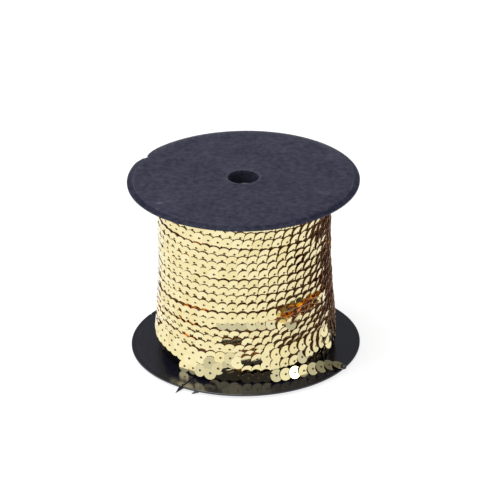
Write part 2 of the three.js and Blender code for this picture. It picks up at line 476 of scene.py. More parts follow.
def make_plastic(name, dark, light, roughness, specular):
    """Charcoal plastic between two colours and two roughnesses, with painted shade on the bevel, pale where
    it is worn.
    """
    material, tree, shader, coordinates = textured(name)
    clouds = place_group(tree, soft_clouds, coordinates, Scale=45.0, Contrast=1.5)
    marks = place_group(tree, hairline_marks, coordinates, Scale=55.0, Width=0.006)
    mottle = noise_node(tree, coordinates, 380.0, 5.0, 0.7)
    radius = axis_distance(tree, coordinates)
    # Painted shade: the bevel's colour is darkened as if it lay in shade.
    bevel_painted_shade = map_range(tree, radius, PAINTED_SHADE_RADII[0] * MM, PAINTED_SHADE_RADII[1] * MM, 0.0, BEVEL_PAINTED_SHADE)
    patchy = math_node(tree, "ADD", math_node(tree, "MULTIPLY", clouds, CLOUD_SHARE), mottle)
    patchy = math_node(tree, "SUBTRACT", patchy, bevel_painted_shade)
    base = mix_colour(tree, map_range(tree, patchy, *MOTTLE_SPAN, 0.0, 1.0), dark, light)
    speckle = map_range(tree, noise_node(tree, coordinates, 900.0, 2.0), 0.35, 0.7, 0.3, 1.0)
    rubbed = math_node(tree, "ADD", scuff_mask(tree, coordinates), ring_mask(tree, radius))
    broken = math_node(tree, "MULTIPLY", rubbed, speckle)
    worn = math_node(tree, "ADD", broken, math_node(tree, "MULTIPLY", marks, MARK_STRENGTH))
    tree.links.new(mix_colour(tree, worn, base, RUBBED_GREY), shader.inputs["Base Color"])
    tree.links.new(map_range(tree, clouds, 0.0, 1.0, *roughness), shader.inputs["Roughness"])
    shader.inputs["Specular IOR Level"].default_value = specular
    add_bump(tree, shader, noise_node(tree, coordinates, 2600.0, 3.0), 0.12, 0.00005)
    return material


black_plastic = make_plastic("black_plastic", **SATIN)
glossy_shaded_plastic = make_plastic("black_plastic_glossy_shaded", **GLOSSY_SHADED)
print("plastics:", black_plastic.name, glossy_shaded_plastic.name)

# %% [markdown]
# Gold sequins
#
# The film is gold on its face and deep amber on its back. That back is what shows in the gaps
# and where the strand has turned over. A material for each would do, but the sequins are one
# mesh, so each face carries three numbers that one material mixes its colours by: the tint of
# its sequin, whether it belongs to the back, and the glow of that back. Glow paints light and
# shade on a back: bright amber where light catches it at 1, a dull brown at 0, and nearly
# black, as painted shade, at -1.
#
# Real film lets a little light through to its back. The gaps are too narrow for enough of it
# to find its way in here, so the backs shine faintly by themselves, in specks.

# %% Sequin material
GOLD_PALE = (0.83, 0.75, 0.44)
GOLD_DEEP = (0.76, 0.655, 0.335)
CUT_EDGE = (0.60, 0.42, 0.30)
BACK_BROWN = (0.50, 0.27, 0.17)
# The backs' painted light, a bright amber, and their painted shade, nearly black.
BACK_AMBER_LIT = (0.95, 0.40, 0.03)
BACK_PAINTED_SHADE = (0.03, 0.016, 0.009)
BROWN_METALLIC = 0.45            # how metallic a dull back is; the rest of the film is all metal
GAP_GLIMMER = (0.055, 0.032, 0.023)
AMBER_GLOW = (0.6, 0.24, 0.01)


def attribute_value(tree, name):
    """A number that the mesh carries on its faces."""
    node = tree.nodes.new("ShaderNodeAttribute")
    node.attribute_name = name
    return node.outputs["Fac"]


def back_light(tree, coordinates, brown, lit, reverse, glow):
    """What the backs give off: a glimmer on the dull ones, bright spots on the amber ones."""
    specks = map_range(tree, noise_node(tree, coordinates, 1300.0, 2.0), 0.42, 0.62, 0.0, 1.0)
    glimmer = math_node(tree, "MULTIPLY", math_node(tree, "MULTIPLY", brown, lit), specks)
    shining = mix_colour(tree, glimmer, (0, 0, 0), GAP_GLIMMER)
    strong = math_node(tree, "MULTIPLY", reverse, map_range(tree, glow, 0.5, 1.0, 0.0, 1.0))
    spots = map_range(tree, noise_node(tree, coordinates, 330.0, 1.0), 0.5, 0.62, 0.0, 1.0)
    return mix_colour(tree, math_node(tree, "MULTIPLY", strong, spots), shining, AMBER_GLOW)


def make_gold():
    """Metallised film, coloured by the three numbers on each face."""
    material, tree, shader, coordinates = textured("gold_film")
    tint = attribute_value(tree, "tint")
    reverse = attribute_value(tree, "reverse")
    glow = attribute_value(tree, "glow")
    face = mix_colour(tree, tint, GOLD_PALE, GOLD_DEEP)
    patches = map_range(tree, noise_node(tree, coordinates, 75.0, 2.0), 0.55, 0.66, 0.0, 1.0)
    amber = map_range(tree, math_node(tree, "ADD", patches, glow), 0.0, 1.0, 0.0, 1.0)
    lit = map_range(tree, glow, -1.0, 0.0, 0.0, 1.0)
    film_back = mix_colour(tree, lit, BACK_PAINTED_SHADE, mix_colour(tree, amber, BACK_BROWN, BACK_AMBER_LIT))
    edged = mix_colour(tree, map_range(tree, reverse, 0.0, 0.5, 0.0, 1.0), face, CUT_EDGE)
    colour = mix_colour(tree, map_range(tree, reverse, 0.5, 1.0, 0.0, 1.0), edged, film_back)
    tree.links.new(colour, shader.inputs["Base Color"])
    brown = math_node(tree, "MULTIPLY", reverse, math_node(tree, "SUBTRACT", 1.0, amber))
    tree.links.new(map_range(tree, brown, 0.0, 1.0, 1.0, BROWN_METALLIC), shader.inputs["Metallic"])
    shining = back_light(tree, coordinates, brown, lit, reverse, glow)
    tree.links.new(shining, shader.inputs["Emission Color"])
    shader.inputs["Emission Strength"].default_value = 1.0
    clouds = place_group(tree, soft_clouds, coordinates, Scale=500.0, Contrast=1.2)
    tree.links.new(map_range(tree, clouds, 0.0, 1.0, 0.04, 0.12), shader.inputs["Roughness"])
    add_bump(tree, shader, noise_node(tree, coordinates, 420.0, 1.0), 0.15, 0.0001)
    return material


gold_film = make_gold()
print("film:", len(gold_film.node_tree.nodes), "nodes")

# %% [markdown]
# The thread
#
# The sequins are sewn with thin tan thread, matt and a little hairy. Only its knots and short
# runs show, so its fibres aren't modelled: fine noise in its colour and its bump stands in for
# them. The knots lie in the dark of the holes, so they are painted nearly black as that shade.

# %% Thread material
THREAD_DARK = (0.28, 0.14, 0.05)
THREAD_LIGHT = (0.50, 0.30, 0.13)
KNOT_PAINTED_SHADE = (0.05, 0.028, 0.015)


def make_thread():
    """Matt tan thread, with the knots, which count as backs, in a dark brown that paints the shade of the
    holes.
    """
    material, tree, shader, coordinates = textured("tan_thread")
    clouds = place_group(tree, soft_clouds, coordinates, Scale=900.0, Contrast=2.0)
    thread = mix_colour(tree, clouds, THREAD_DARK, THREAD_LIGHT)
    colour = mix_colour(tree, attribute_value(tree, "reverse"), thread, KNOT_PAINTED_SHADE)
    tree.links.new(colour, shader.inputs["Base Color"])
    shader.inputs["Roughness"].default_value = 0.6
    add_bump(tree, shader, noise_node(tree, coordinates, 9000.0, 2.0), 0.4, 0.00005)
    return material


tan_thread = make_thread()
print("thread:", len(tan_thread.node_tree.nodes), "nodes")

# %% [markdown]
# One sequin
#
# A sequin is a flat disc six millimetres across with a round hole. A Boolean would cut the
# hole but leave long thin faces, so two rings with the same number of points are bridged and
# given a thickness. It is repeated more than a thousand times, so it has only 72 faces. The
# copies are laid by arrays of numbers, so the bmesh is turned into its points and its faces.

# %% Sequin pattern
SEQUIN_RADIUS = 3.0 * MM
HOLE_RADIUS = 0.55 * MM
FILM = 0.12 * MM
SEQUIN_SIDES = 18


def pattern_arrays(build):
    """A small bmesh as arrays: its points, its faces, and 0, 0.5 or 1 for front, edge or back."""
    bmesh.ops.recalc_face_normals(build, faces=build.faces)
    build.verts.ensure_lookup_table()
    points = np.array([vertex.co[:] for vertex in build.verts])
    faces = [[vertex.index for vertex in face.verts] for face in build.faces]
    sides = np.array([0.5 - 0.5 * round(face.normal.z) for face in build.faces])
    build.free()
    return points, faces, sides


def sequin_pattern():
    """A thin disc with a hole."""
    build = bmesh.new()
    bmesh.ops.create_circle(build, radius=SEQUIN_RADIUS, segments=SEQUIN_SIDES)
    bmesh.ops.create_circle(build, radius=HOLE_RADIUS, segments=SEQUIN_SIDES)
    bmesh.ops.bridge_loops(build, edges=list(build.edges))
    raised = bmesh.ops.extrude_face_region(build, geom=list(build.faces))["geom"]
    top = [part for part in raised if isinstance(part, bmesh.types.BMVert)]
    bmesh.ops.translate(build, verts=top, vec=(0, 0, FILM))
    bmesh.ops.translate(build, verts=build.verts, vec=(0, 0, -FILM / 2))
    print("sequin pattern:", len(build.verts), "points", len(build.faces), "faces")
    return pattern_arrays(build)


def disc_pattern(radius, sides, depth):
    """A plain disc that counts as a back all over, so that it gets painted shade: for the knots and the layer
    underneath.
    """
    build = bmesh.new()
    bmesh.ops.create_cone(build, cap_ends=True, segments=sides, radius1=radius, radius2=radius, depth=depth)
    points, faces = pattern_arrays(build)[:2]
    return points, faces, np.ones(len(faces))


SEQUIN = sequin_pattern()

# %% [markdown]
# One stitch
#
# What shows of the sewing is the dark hole, with the thread's knot in it, and a short run of
# thread towards the next sequin. The run is one small face, extruded from station to station
# and turned a little each time, as a pipe is bent. The knot is a small disc under the hole, a
# little wider than it, and carries the hole's painted shade.

# %% Stitch pattern
THREAD_RADIUS = 0.13 * MM
THREAD_SIDES = 5
STITCH_STATIONS = ((0.0, -0.15), (0.1, 0.1), (0.6, 0.14), (1.15, -0.1))
STITCH_TURN = math.radians(60)
KNOT_RADIUS = 0.66 * MM
KNOT_SIDES = 8
KNOT_DEPTH = 0.04 * MM
KNOT_DROP = 0.2 * MM


def stitch_pattern():
    """A knot disc under the hole, painted dark as the hole's shade, and a bent length of thread that leaves
    it.
    """
    build = bmesh.new()
    ring = bmesh.ops.create_circle(build, radius=THREAD_RADIUS, segments=THREAD_SIDES, cap_ends=True)["verts"]
    start = STITCH_STATIONS[0]
    bmesh.ops.translate(build, verts=ring, vec=(start[0] * MM, 0, start[1] * MM))
    face = build.faces[:][0]
    turned = Matrix.Rotation(STITCH_TURN, 3, "Y")
    for (x0, z0), (x1, z1) in zip(STITCH_STATIONS, STITCH_STATIONS[1:]):
        face = bmesh.ops.extrude_discrete_faces(build, faces=[face])["faces"][0]
        bmesh.ops.translate(build, verts=face.verts, vec=((x1 - x0) * MM, 0, (z1 - z0) * MM))
        bmesh.ops.rotate(build, verts=face.verts, cent=face.calc_center_median(), matrix=turned)
    thread, thread_faces, kinds = pattern_arrays(build)
    knot, knot_faces, knot_kinds = disc_pattern(KNOT_RADIUS, KNOT_SIDES, KNOT_DEPTH)
    knot = knot + (0, 0, -KNOT_DROP)
    shifted = [[corner + len(thread) for corner in face] for face in knot_faces]
    return np.concatenate([thread, knot]), thread_faces + shifted, np.concatenate([kinds * 0, knot_kinds])


STITCH = stitch_pattern()
print("stitch pattern:", len(STITCH[0]), "points", len(STITCH[1]), "faces")

# %% [markdown]
# Reading the strands
#
# A strand is a list of knots: the angle round the reel, the height of the hole, how far it
# lies out from the winding's surface, and how far its face looks up or down. The angles and
# heights were read off the front of the reel against a plain cylinder. A strand that lies
# further out or in is seen at the same spot from another place, so each knot is first moved
# along the camera's line of sight to its own radius.

# %% Surface and line of sight
READING_RADIUS = 41.3
READ_FROM, READ_TO = 195, 345    # the angles at which the front of the reel shows
READ_EDGE = 0.985                # how near to its outline a knot may come, as a part of the radius
# The surface that the holes lie on, as heights and radii in millimetres.
SURFACE = {
    "height": (0, 12, 20, 27, 36, 45, 65, 86),
    "radius": (41.9, 41.8, 41.4, 40.8, 40.4, 39.9, 39.9, 39.7),
}


def surface_radius(height):
    """How far from the axis the holes lie at this height, in millimetres."""
    return np.interp(height, SURFACE["height"], SURFACE["radius"])


def true_knot(knot):
    """A knot at the front, moved along the line of sight from the reading cylinder."""
    angle, height, lift, face = knot
    turn = angle % 360
    if not READ_FROM < turn < READ_TO:
        return knot
    radius = surface_radius(height) + lift
    seen = np.array([math.cos(math.radians(turn)), math.sin(math.radians(turn))]) * READING_RADIUS
    x = min(max(seen[0], -READ_EDGE * radius), READ_EDGE * radius)
    y = -math.sqrt(radius ** 2 - x ** 2)
    true_turn = math.degrees(math.atan2(y, x)) % 360
    true_height = height + (seen[1] - y) * math.tan(CAMERA_ELEVATION)
    return (angle - turn + true_turn, true_height, lift, face)


print("holes from", surface_radius(SURFACE["height"][-1]), "to", surface_radius(0), "mm from the axis")

# %% [markdown]
# Laying a strand
#
# Between its knots a strand's values are blended at every degree, and a running mean rounds
# the corners. A curve object would give a line too, but not the lean of each sequin on it, so
# the numbers are kept as rows. Holes are then set along the line at an even pitch, because
# that is how the sequins were sewn.

# %% Strand helpers
PITCH = 4.7 * MM


def blend_knots(knots, smoothing=9):
    """Angle, height, lift and face at every degree along a strand's knots."""
    table = np.array([true_knot(knot) for knot in knots], dtype=float)
    angles = np.arange(table[0, 0], table[-1, 0] + 1e-6, 1.0)
    columns = [angles]
    for column in (1, 2, 3):
        values = np.interp(angles, table[:, 0], table[:, column])
        padded = np.pad(values, smoothing // 2, mode="edge")
        columns.append(np.convolve(padded, np.ones(smoothing) / smoothing, mode="valid"))
    return np.stack(columns, axis=1)


def strand_points(samples):
    """The place of each row of angle, height, lift and face, in metres."""
    radius = surface_radius(samples[:, 1]) + samples[:, 2]
    angle = np.radians(samples[:, 0])
    return np.stack([radius * np.cos(angle), radius * np.sin(angle), samples[:, 1]], axis=1) * MM


def even_steps(samples, pitch=PITCH):
    """Hole places at an even pitch along a strand, with the face angle at each."""
    points = strand_points(samples)
    run = np.concatenate([[0], np.cumsum(np.linalg.norm(np.diff(points, axis=0), axis=1))])
    count = max(int(round(run[-1] / pitch)), 1)
    stops = np.linspace(0, run[-1], count + 1)
    holes = np.stack([np.interp(stops, run, points[:, axis]) for axis in range(3)], axis=1)
    return holes, np.interp(stops, run, samples[:, 3])


print("a sequin every", PITCH / MM, "mm")

# %% [markdown]
# Placing the sequins
#
# Each sequin lies over the one before it, so its near edge is raised. Going round to the right,
# that raised edge turns towards the camera on the right side of the reel, where the dark gaps
# open up. No two lie quite alike, so a seeded dice tips and shifts each a little. A thousand
# objects would be slow to handle, so every copy of a pattern goes into one mesh.

# %% Placing helpers
SHINGLE = 6.5                    # how far a sequin's near edge is raised, in degrees
SHINGLE_SPREAD = 1.2
FACE_SPREAD = 1.3
SLIP = 0.07 * MM                 # how far a sequin may lie above or below its row
SLACK_FROM, SLACK_SPAN = 300, 35
SLACK_MORE = 1.4                 # how much more unevenly they lie at the right side
dice = np.random.RandomState(11)


def unit(vectors):
    """Each vector made one long."""
    return vectors / np.linalg.norm(vectors, axis=1, keepdims=True)


def turn_degrees(places):
    """The angle of each place round the reel."""
    return np.degrees(np.arctan2(places[:, 1], places[:, 0])) % 360


def sequin_frames(holes, faces, shingle=SHINGLE, jitter=1.0):
    """A 4 by 4 placement for each sequin: X along the strand, Z out of its face.

    The sequins lie less and less evenly towards the reel's right side, where the strand is slack."""
    along = unit(np.gradient(holes, axis=0))
    out = unit(holes * (1, 1, 0))
    out = unit(out - along * np.sum(out * along, axis=1, keepdims=True))
    up = np.cross(out, along)
    count = len(holes)
    towards_right = np.clip((turn_degrees(holes) - SLACK_FROM) / SLACK_SPAN, 0, 1)
    slack = jitter * (1 + SLACK_MORE * towards_right)
    face = np.radians(faces + dice.normal(0, FACE_SPREAD, count) * slack)[:, None]
    lift = np.radians(shingle + dice.normal(0, SHINGLE_SPREAD, count) * slack)[:, None]
    normal = out * np.cos(face) + up * np.sin(face)
    side = up * np.cos(face) - out * np.sin(face)
    frames = np.zeros((count, 4, 4))
    frames[:, :3, 0] = along * np.cos(lift) - normal * np.sin(lift)
    frames[:, :3, 1] = side
    frames[:, :3, 2] = normal * np.cos(lift) + along * np.sin(lift)
    frames[:, :3, 3] = holes + side * dice.normal(0, SLIP * jitter, (count, 1))
    frames[:, 3, 3] = 1
    return frames


def store_values(mesh, name, values):
    """Write one number for each face of the mesh."""
    attribute = mesh.attributes.new(name, "FLOAT", "FACE")
    attribute.data.foreach_set("value", values)


def repeat_pattern(name, pattern, frames, material, tints=None, glows=None):
    """One joined mesh with the pattern at every placement, and its colour values on the faces."""
    points, faces, kinds = pattern
    count = len(points)
    placed = np.einsum("nij,pj->npi", frames[:, :3, :3], points) + frames[:, None, :3, 3]
    joined = [[index * count + corner for corner in face] for index in range(len(frames)) for face in faces]
    mesh = bpy.data.meshes.new(name)
    mesh.from_pydata(placed.reshape(-1, 3).tolist(), [], joined)
    none = np.zeros(len(frames))
    store_values(mesh, "reverse", np.tile(kinds, len(frames)))
    store_values(mesh, "tint", np.repeat(none if tints is None else tints, len(faces)))
    store_values(mesh, "glow", np.repeat(none if glows is None else glows, len(faces)))
    mesh.materials.append(material)
    mesh.validate()
    piece = bpy.data.objects.new(name, mesh)
    scene.collection.objects.link(piece)
    print(name, len(frames), "copies", len(mesh.polygons), "faces")
    return piece


def dress(piece, node):
    """The piece rides on the spool in place of a CAD node."""
    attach(piece, "root")
    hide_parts(node)


print("one sequin in the winding leans by about", SHINGLE, "degrees")

# %% [markdown]
# The regular turns
#
# Seen from the front, each turn crosses the reel a little lower than the one before, and
# droops on its way. One row of this table is one turn: the angle of its first hole on the
# left, then the height of its holes at seven places from left to right. Round the back a turn
# runs evenly into the next row of the table, so the whole of it is one strand.

# %% Turns from the top down
PLACES = (205, 225, 245, 265, 285, 305, 325)
# How far the faces look up or down at these places: a little down, and more so at the right,
# so that they mirror the white floor.
FACE_DOWN = -7.5
PLACE_FACES = (FACE_DOWN, FACE_DOWN, FACE_DOWN, FACE_DOWN, -8.5, -11.0, -9.0)
TURNS = (
    {"first": 207.0, "heights": (82.6, 82.6, 82.8, 82.8, 82.8, 82.8, 82.6)},
    {"first": 206.0, "heights": (81.8, 81.4, 80.9, 80.2, 79.4, 78.8, 78.6)},
    {"first": 210.5, "heights": (77.9, 77.5, 77.1, 76.2, 75.4, 74.7, 74.6)},
    {"first": 209.2, "heights": (75.1, 74.1, 73.5, 72.6, 71.6, 71.2, 71.2)},
    {"first": 207.1, "heights": (69.8, 68.4, 68.3, 67.6, 66.8, 66.5, 66.2)},
    {"first": 211.2, "heights": (65.6, 64.6, 64.2, 63.9, 63.7, 63.1, 63.1)},
    {"first": 210.9, "heights": (61.9, 60.8, 60.2, 60.3, 60.0, 59.5, 59.3)},
    {"first": 206.1, "heights": (57.6, 56.4, 56.5, 56.6, 56.3, 55.8, 55.4)},
    {"first": 206.1, "heights": (53.5, 52.3, 51.6, 51.6, 52.1, 51.6, 51.4)},
    {"first": 206.0, "heights": (48.7, 47.9, 47.5, 47.5, 47.9, 47.4, 47.4)},
    {"first": 205.4, "heights": (44.8, 44.2, 43.8, 43.8, 43.8, 43.2, 43.2)},
    {"first": 205.4, "heights": (39.8, 40.2, 39.6, 39.6, 39.8, 39.6, 39.8)},
    {"first": 204.1, "heights": (34.1, 33.8, 34.2, 34.9, 35.6, 36.0, 35.2)},
    {"first": 204.0, "heights": (29.6, 30.2, 31.1, 31.5, 31.0, 29.0, 29.0)},
    {"first": 204.8, "heights": (26.2, 25.9, 25.6, 25.4, 25.2, 25.6, 25.6)},
    {"first": 206.0, "heights": (22.6, 22.2, 22.0, 22.0, 21.8, 23.0, 22.6)},
    {"first": 207.0, "heights": (20.0, 18.8, 18.7, 18.4, 18.1, 19.4, 19.0)},
)
FIRST_START = 225.0              # the topmost turn starts here, wedged under the flange
TWISTED_TURN = 12                # the turn that turns over on itself at the right
LAST_HEIGHT = 15.5
LAST_FIRST = 199.6
CLEAR_ANGLE = 3                  # a place this near to a turn's first hole is left out
# Stretches of a turn that lean: back, so that the dim sky greys their faces, or forward, so that
# they mirror the black flange or lay a gap open. Lift pushes them out or in (millimetres).
LEANING = (
    {"turn": 13, "from": 250, "to": 293, "face": 18.0, "lift": -0.8},
    {"turn": 13, "from": 293, "to": 298, "face": 27.0, "lift": -1.2},
    {"turn": 14, "from": 196, "to": 236, "face": -10.5, "lift": 0.2},
    {"turn": 15, "from": 254, "to": 266, "face": -18.0, "lift": 0.0},
    {"turn": 16, "from": 196, "to": 245, "face": -10.5, "lift": 0.2},
)


def turn_knots(index):
    """The knots of one turn, from its first hole to the first hole of the turn below."""
    turn = TURNS[index]
    last = index + 1 == len(TURNS)
    next_height = LAST_HEIGHT if last else TURNS[index + 1]["heights"][0]
    next_first = LAST_FIRST if last else TURNS[index + 1]["first"]
    knots = [(turn["first"], turn["heights"][0], 0.0, FACE_DOWN)]
    for place, height, face in zip(PLACES, turn["heights"], PLACE_FACES):
        if place > turn["first"] + CLEAR_ANGLE:
            knots.append((place, height, 0.0, face))
    knots.append((next_first + 360, next_height, 0.0, FACE_DOWN))
    return knots


def lay_turn(index):
    """The placements of one turn's sequins."""
    knots = turn_knots(index)
    if index == 0:
        knots = [knot for knot in knots if knot[0] >= FIRST_START]
    if index == TWISTED_TURN:
        knots = TWISTED_KNOTS
    holes, faces = even_steps(blend_knots(knots))
    angles = turn_degrees(holes)
    for stretch in LEANING:
        if stretch["turn"] == index:
            leaning = (angles > stretch["from"]) & (angles < stretch["to"])
            faces[leaning] = stretch["face"]
            holes[leaning] += unit(holes[leaning] * (1, 1, 0)) * stretch["lift"] * MM
    return sequin_frames(holes[:-1], faces[:-1])


print(len(TURNS), "turns from", TURNS[0]["heights"][0], "down to", LAST_HEIGHT, "mm")

# %% [markdown]
# The twisted stretch and the slumped foot
#
# Low on the right the strand turns over on itself and shows its amber back. Below it the
# turns have slumped: some lie on the diagonal, some dip under others, and the last one runs
# down across them to become the loose end. A simulation would let them fall, but not as they
# fell here, so each is a strand with its own knots of angle, height, lift and face, in degrees
# and millimetres. Lift keeps a strand that crosses another clear of it. Glow is the painted
# light and shade on its backs, from bright amber at 1 to nearly black at -1, shingle how far
# its sequins' near edges are raised, and mess how many times more untidily they lie than those
# of a turn.

# %% Twisted and slumped strands
TWISTED_KNOTS = (
    (204.1, 34.1, 0.0, -6.5), (225, 33.8, 0.0, -4.5), (245, 34.2, 0.0, -4.5), (265, 34.9, 0.0, -5.5),
    (280, 35.1, 0.1, -7.5), (292, 36.0, 0.2, -7.5), (298, 35.6, -0.2, -26), (303, 35.2, -0.8, -52),
    (314, 35.4, -0.8, -52), (322, 35.4, 0.0, -24), (329, 35.0, 0.5, 0), (335, 34.6, 0.2, -8),
    (350, 33.6, 0.0, -7.5), (564.0, 29.6, 0.0, -7.5),
)
STRANDS = {
    "amber_bars": {"glow": 1.0, "shingle": 8, "mess": 7, "knots": (
        (299.7, 37.2, -1.9, -64), (306.7, 37.4, -1.9, -62), (313, 37.8, -1.9, -62), (323, 38.4, -2.0, -58))},
    "olive_bars": {"glow": 0.3, "shingle": 10, "mess": 7, "knots": (
        (298.0, 36.3, -0.9, 112), (305, 36.7, -0.8, 110), (311, 37.1, -0.8, 108), (321, 37.6, -0.9, 112))},
    "brown_bars": {"glow": 0.8, "shingle": 12, "mess": 7, "knots": (
        (298, 34.4, -0.6, -62), (304, 34.9, -0.4, -60), (312, 35.2, -0.4, -60), (320, 36.0, -0.5, -50))},
    "low_bars": {"glow": 0.2, "shingle": 10, "mess": 5, "knots": (
        (297, 33.0, -0.9, 110), (305, 33.6, -0.6, 106), (312, 34.0, -0.5, 106), (322, 34.8, -0.6, 110))},
    "lowest_bars": {"glow": 0.2, "shingle": 10, "knots": (
        (300, 31.6, -0.6, -40), (306, 32.0, -0.4, -36), (312, 32.4, -0.4, -34), (320, 33.0, -0.5, -30))},
    "below_curl": {"glow": 0.2, "shingle": 10, "knots": (
        (294.6, 29.2, 0.1, 8), (300.2, 28.8, 0.7, 31), (306.0, 29.6, 0.4, -20))},
    "running_down": {"glow": 0.1, "shingle": 8, "knots": (
        (199.6, 15.5, 0.5, 4), (214, 14.6, 0.6, 5), (227, 13.9, 0.7, 6), (234, 13.3, 0.9, 9),
        (240, 12.1, 1.1, 15), (243, 11.2, 1.2, 22), (252, 8.0, 1.4, 23), (257, 6.6, 1.0, -8),
        (264.4, 5.2, 0.8, -10))},
    "slumped": {"glow": 0.1, "shingle": 9, "knots": (
        (245.6, 9.6, 0.2, 20), (258, 10.8, 0.4, 21), (264.5, 12.0, 1.2, 12), (267, 12.4, 1.6, -2),
        (268.5, 12.8, 1.7, -13.0), (279.5, 13.7, 1.7, -13.0), (281, 14.1, 1.3, 6), (283.6, 14.4, 0.9, 18),
        (290.5, 14.8, 0.9, 5), (297.8, 15.3, 0.9, 2), (303.2, 15.9, 0.9, 1), (309.5, 16.2, 0.8, 2),
        (318, 17.0, 0.6, 4), (345, 15.6, 0.2, 4), (565, 11.3, 0.2, 6), (577, 10.8, 0.3, 7),
        (591, 9.5, 0.3, 7), (604, 8.8, 0.1, 7))},
    "second_row": {"glow": -0.5, "shingle": 7, "knots": (
        (258, 7.0, 0.1, 4), (265, 6.8, -0.2, 4), (278, 7.6, -0.1, 4), (285, 9.9, 0.8, 4),
        (292, 9.4, 0.9, 4), (299, 8.7, 1.0, 4), (305.4, 9.2, 1.0, 6), (308, 9.5, 0.9, 26),
        (311, 9.7, 0.8, 26), (313.5, 10.3, 0.9, 4), (318, 11.2, 1.0, 4), (325, 12.2, 1.0, 6),
        (333, 11.6, 0.9, 7), (341, 10.6, 0.6, 7), (350, 10.4, 0.2, 2), (560, 8.0, 0.0, 0))},
    "right_fall": {"glow": 0.2, "shingle": -2, "knots": (
        (322.4, 28.0, 0.6, 15), (323.4, 24.0, 0.8, 16), (325.3, 16.3, 0.9, 15))},
    "right_edge": {"glow": 0.2, "shingle": -18, "knots": (
        (331.8, 17.6, 0.6, 7), (335.4, 10.6, 0.6, 7), (338.2, 8.0, 0.5, 7))},
    "foot_left": {"glow": 0.1, "shingle": 8, "knots": (
        (226.0, 4.5, -0.2, 11), (234.1, 5.2, 0.0, 11), (238, 5.3, 1.5, 17), (240.2, 5.3, 1.8, 17),
        (246.4, 4.9, 1.7, 18))},
    "foot_dark": {"glow": -1.0, "shingle": 8, "knots": (
        (249, 4.4, 0.4, -8), (263, 4.6, 0.4, -8))},
    "foot_back": {"glow": 0.1, "shingle": 9, "knots": (
        (300, 5.6, -0.6, -6), (345, 5.2, -0.4, -5), (440, 5.0, 0.0, -4), (535, 5.0, -0.6, -6))},
    "thin_row": {"glow": 0.1, "shingle": 9, "knots": (
        (247, 13.6, 0.0, -4), (256, 13.9, 0.3, 12), (270, 14.6, 0.5, 14), (286, 16.8, 0.4, 4))},
}
print(len(STRANDS), "strands at the twist and the foot")

# %% [markdown]
# The whole winding
#
# All turns and strands become one mesh of sequins and one of stitches, because they share one
# place in the record. In a few gaps at the left the backs catch more light and are orange.

# %% Winding
# Stretches of a turn whose backs are bright orange.
ORANGE_STRETCHES = (
    {"turn": 4, "from": 220, "to": 241},
    {"turn": 6, "from": 226, "to": 240},
    {"turn": 9, "from": 222, "to": 230},
    {"turn": 12, "from": 222, "to": 246},
    {"turn": 14, "from": 222, "to": 240},
    {"turn": 16, "from": 222, "to": 238},
)
TINT_MIDDLE, TINT_SPREAD = 0.45, 0.25

frames = [lay_turn(index) for index in range(len(TURNS))]
glows = [np.zeros(len(part)) for part in frames]
for stretch in ORANGE_STRETCHES:
    places = frames[stretch["turn"]][:, :3, 3]
    angles = turn_degrees(places)
    glows[stretch["turn"]][(angles > stretch["from"]) & (angles < stretch["to"])] = 1.0
for name, strand in STRANDS.items():
    holes, faces = even_steps(blend_knots(strand["knots"], smoothing=3))
    frames.append(sequin_frames(holes, faces, strand["shingle"], strand.get("mess", 1)))
    glows.append(np.full(len(holes), strand["glow"]))
frames = np.concatenate(frames)
tints = np.clip(dice.normal(TINT_MIDDLE, TINT_SPREAD, len(frames)), 0, 1)
wound_sequins = repeat_pattern("wound_sequins", SEQUIN, frames, gold_film, tints, np.concatenate(glows))
wound_stitches = repeat_pattern("wound_stitches", STITCH, frames, tan_thread)
dress(wound_sequins, "wound_trim")
dress(wound_stitches, "wound_trim")

# %% [markdown]
# The curl
#
# Where the strand turns over, one sequin has been bent into a bow and stands out from the
# winding, so that it is seen along its bend, as a bright bow open to the right. It is the same
# pattern, wrapped round an axis that points near the camera.

# %% Curled sequin
CURL_HOLE = (296.4, 32.2, 1.9, 0.0)
CURL_RADIUS = 2.9 * MM
CURL_SHOWN = math.radians(21)    # how far the bend's axis is turned from the line of sight
CURL_TILT = math.radians(29)     # how far the bow leans over to the right
CURL_TINT = 0.8
CURL_GLOW = 0.8


def bent(pattern, radius):
    """The pattern curled backwards round an upright axis of this radius."""
    points, faces, kinds = pattern
    turn = points[:, 0] / radius
    reach = radius + points[:, 2]
    curled = np.stack([reach * np.sin(turn), points[:, 1], reach * np.cos(turn) - radius], axis=1)
    return curled, faces, kinds


curl_angle, curl_height, curl_lift = true_knot(CURL_HOLE)[:3]
curl_out = (surface_radius(curl_height) + curl_lift) * MM
curl_turn = math.radians(curl_angle)
curl_hole = Vector((curl_out * math.cos(curl_turn), curl_out * math.sin(curl_turn), curl_height * MM))
bulge = -across * math.cos(CURL_TILT) + upright * math.sin(CURL_TILT)
curl_axis = (back - bulge * math.tan(CURL_SHOWN)).normalized()
curl_front = (bulge - curl_axis * bulge.dot(curl_axis)).normalized()
curl_place = Matrix.Identity(4)
for column, vector in enumerate((curl_axis.cross(curl_front), curl_axis, curl_front, curl_hole)):
    for row in range(3):
        curl_place[row][column] = vector[row]
curled_sequin = repeat_pattern("curled_sequin", bent(SEQUIN, CURL_RADIUS), np.array([curl_place]),
                               gold_film, np.array([CURL_TINT]), np.array([CURL_GLOW]))
dress(curled_sequin, "wound_trim")

# %% [markdown]
# The turns underneath
#
# Through the gaps one sees the layer below, and under that only darkness. Building all the
# turns down to the barrel would cost a hundred times the faces for nothing seen, so a second,
# even layer of plain discs lies a little further in, and a solid body fills the rest. The
# discs are coloured all over as dull backs, which paints the shade deep in the gaps on them
# instead of gold.

# %% Under layer
UNDER_DEPTH = 1.5                # how far in the second layer lies, in millimetres
UNDER_ROW = 4.25                 # how much one of its turns comes down
UNDER_TOP, UNDER_FOOT = 81.8, 12.0
UNDER_SIDES = 14
# The glow of the under layer's backs: the painted light and shade on them.
UNDER_GLOW, UNDER_GLOW_SPREAD = 0.1, 0.25

